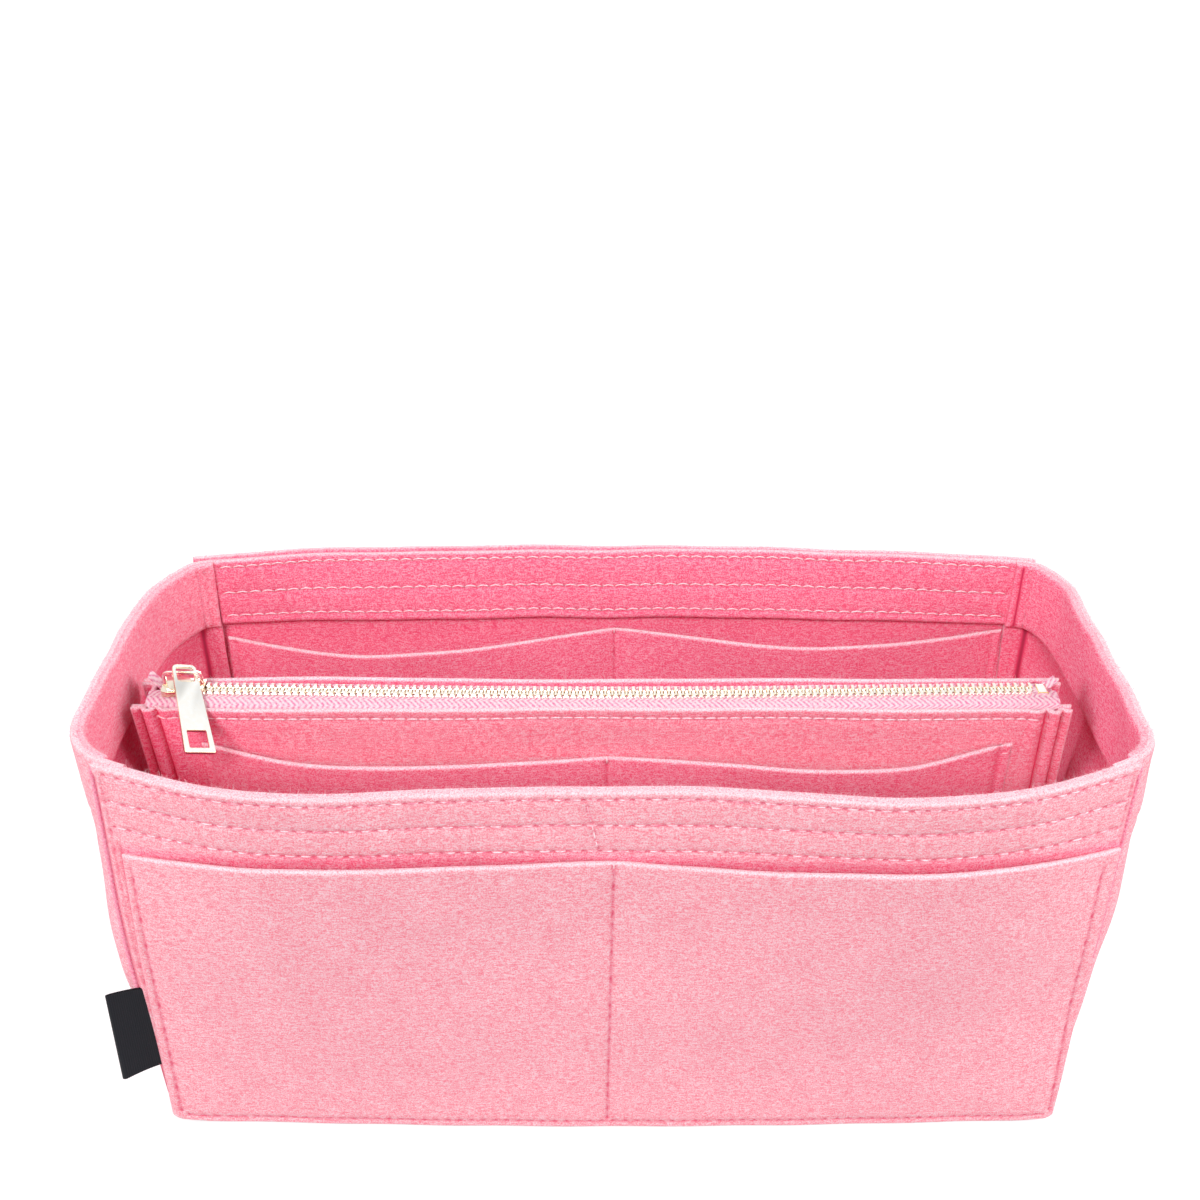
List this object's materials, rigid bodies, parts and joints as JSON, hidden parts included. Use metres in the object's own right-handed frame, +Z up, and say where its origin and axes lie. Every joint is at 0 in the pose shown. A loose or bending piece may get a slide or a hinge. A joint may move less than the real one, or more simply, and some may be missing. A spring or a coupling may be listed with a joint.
{
  "type": "handbag organizer insert",
  "caption": "Open felt tub that stands inside a handbag to divide it, with patch pockets and a zipped pouch across the middle.",
  "frame": {"origin": "middle of the underside, between the four corners of the base", "axes": "+X along the length to the right as seen from the front, +Y from the front wall to the back wall, +Z up"},
  "size_m": [0.3543, 0.1725, 0.162],
  "materials": {
    "felt": "pressed pink felt with raw cut edges",
    "zip_tape": "woven lilac pink tape",
    "zip_metal": "bright pale gold plating",
    "ribbon": "woven black satin ribbon, left plain"
  },
  "bodies": {
    "tub": {"front_panel": "felt", "back_panel": "felt", "left_side_panel": "felt", "right_side_panel": "felt", "base_panel": "felt", "front_rim_facing": "felt", "back_rim_facing": "felt", "left_rim_facing": "felt", "right_rim_facing": "felt", "front_outer_pocket": "felt", "back_inner_pocket": "felt", "pouch_front_panel": "felt", "pouch_back_panel": "felt", "pouch_left_gusset": "felt", "pouch_right_gusset": "felt", "pouch_bottom_strip": "felt", "pouch_front_pocket": "felt", "zip_tape_front": "zip_tape", "zip_tape_back": "zip_tape", "zip_teeth_front": "zip_metal", "zip_teeth_back": "zip_metal", "zip_top_stop_front": "zip_metal", "zip_top_stop_back": "zip_metal", "zip_bottom_stop": "zip_metal", "side_label": "ribbon"},
    "slider": {"zip_slider": "zip_metal"},
    "pull": {"zip_pull": "zip_metal"}
  },
  "joints": [
    {"name": "zip_slide", "type": "slide", "parent": "tub", "child": "slider", "axis": [1, 0, 0], "range_m": [0, 0.297], "deforming": ["zip_teeth_front", "zip_teeth_back"]},
    {"name": "pull_swing", "type": "hinge", "parent": "slider", "child": "pull", "pos_m": [-0.1545, -0.002, 0.1538], "axis": [-1, 0, 0], "range_deg": [0, 205]}
  ]
}
